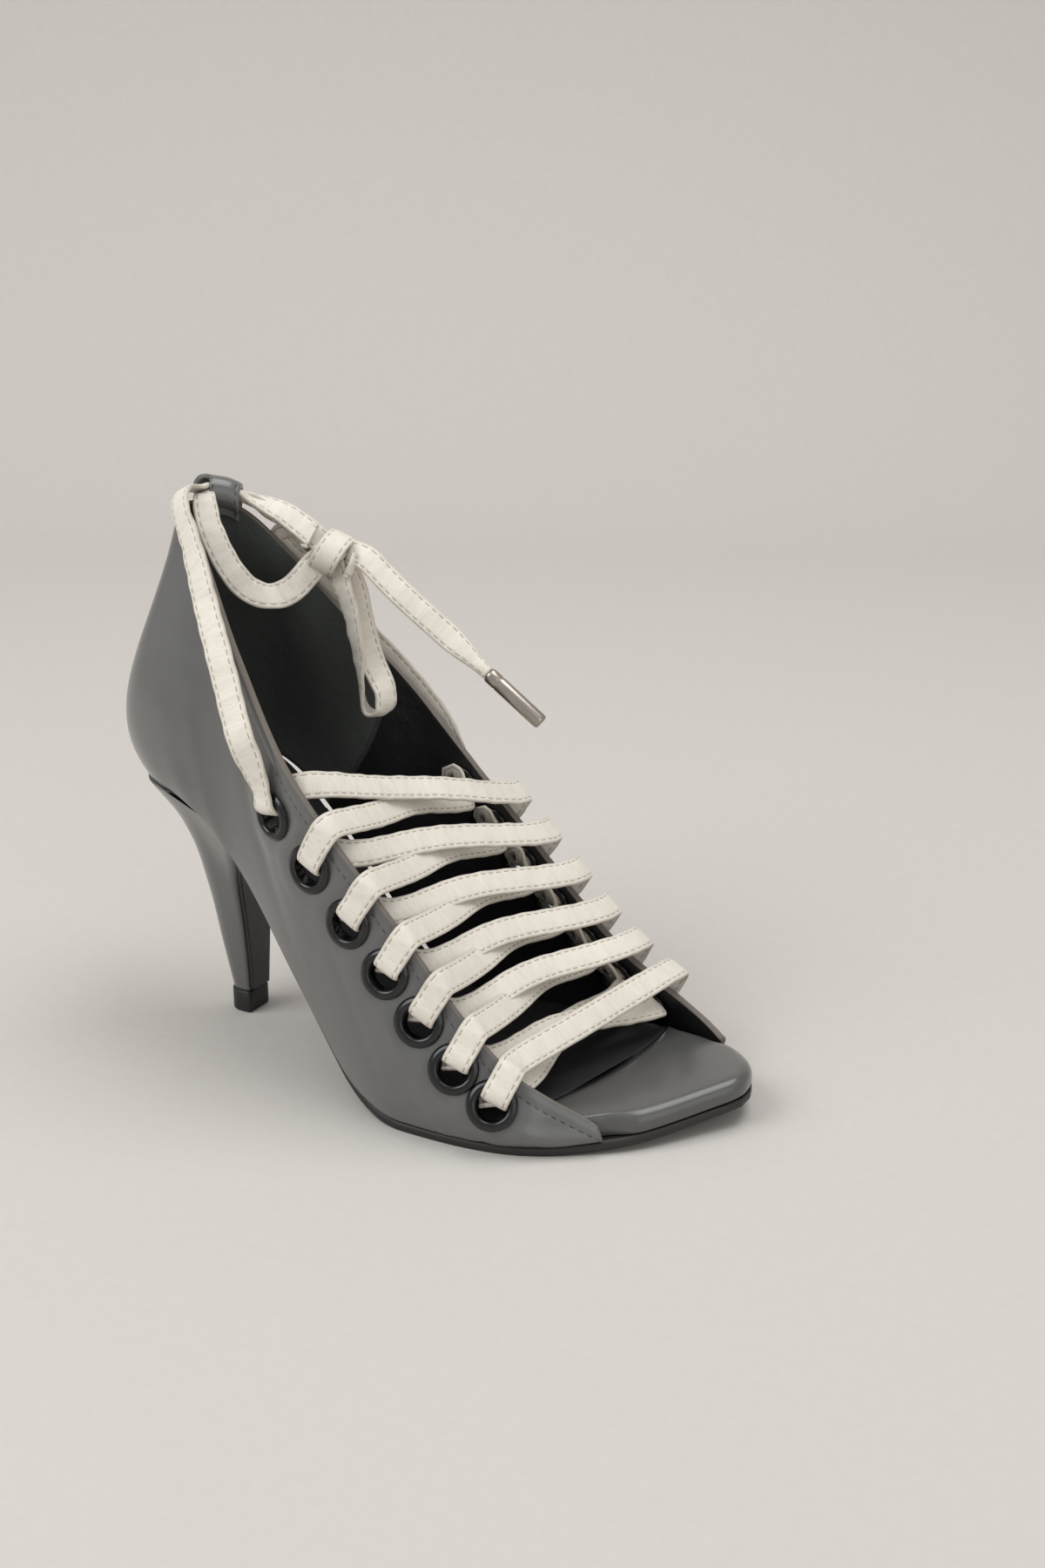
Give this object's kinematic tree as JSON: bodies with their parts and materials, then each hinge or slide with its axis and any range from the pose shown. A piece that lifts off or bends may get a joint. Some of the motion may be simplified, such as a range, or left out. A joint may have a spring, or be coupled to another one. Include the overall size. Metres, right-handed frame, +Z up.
{
  "type": "open-toe lace-up heeled shoe",
  "caption": "Open-toe heeled ankle shoe with a smooth leather upper, laces crossed through metal eyelets over an open throat, a pull loop at the heel and a slim high heel.",
  "frame": {"origin": "on the floor plane, at the middle of the heel tip's underside", "axes": "+X level towards the toe, +Y level towards the inner (medial) side of the foot, +Z up"},
  "size_m": [0.1986, 0.0915, 0.1651],
  "materials": {
    "grey_leather": "smooth, soft gloss",
    "black_lining": "smooth lining leather",
    "black_sole": "matt, dark edge dye",
    "black_rubber": "matt",
    "eyelet_metal": "dark plated, glossy",
    "aglet_metal": "dull plated",
    "cream_lace": "soft, stitched along both edges"
  },
  "bodies": {
    "root": {"upper": "grey_leather", "insole": "black_lining", "toe_platform": "grey_leather", "outsole": "black_sole", "heel": "grey_leather", "heel_breast": "black_sole", "top_piece": "black_rubber", "heel_loop": "grey_leather", "eyelet_l1": "eyelet_metal", "eyelet_l2": "eyelet_metal", "eyelet_l3": "eyelet_metal", "eyelet_l4": "eyelet_metal", "eyelet_l5": "eyelet_metal", "eyelet_l6": "eyelet_metal", "eyelet_l7": "eyelet_metal", "eyelet_m1": "eyelet_metal", "eyelet_m2": "eyelet_metal", "eyelet_m3": "eyelet_metal", "eyelet_m4": "eyelet_metal", "eyelet_m5": "eyelet_metal", "eyelet_m6": "eyelet_metal", "eyelet_m7": "eyelet_metal", "lace_bar_7": "cream_lace", "lace_cross_7": "cream_lace", "lace_cross_6": "cream_lace", "lace_cross_5": "cream_lace", "lace_cross_4": "cream_lace", "lace_cross_3": "cream_lace", "lace_cross_2": "cream_lace", "lace_lateral": "cream_lace", "lace_tunnel": "cream_lace", "lace_medial": "cream_lace", "lace_drape": "cream_lace", "lace_loop": "cream_lace", "lace_end": "cream_lace", "lace_knot": "cream_lace", "aglet": "aglet_metal"}
  },
  "joints": []
}
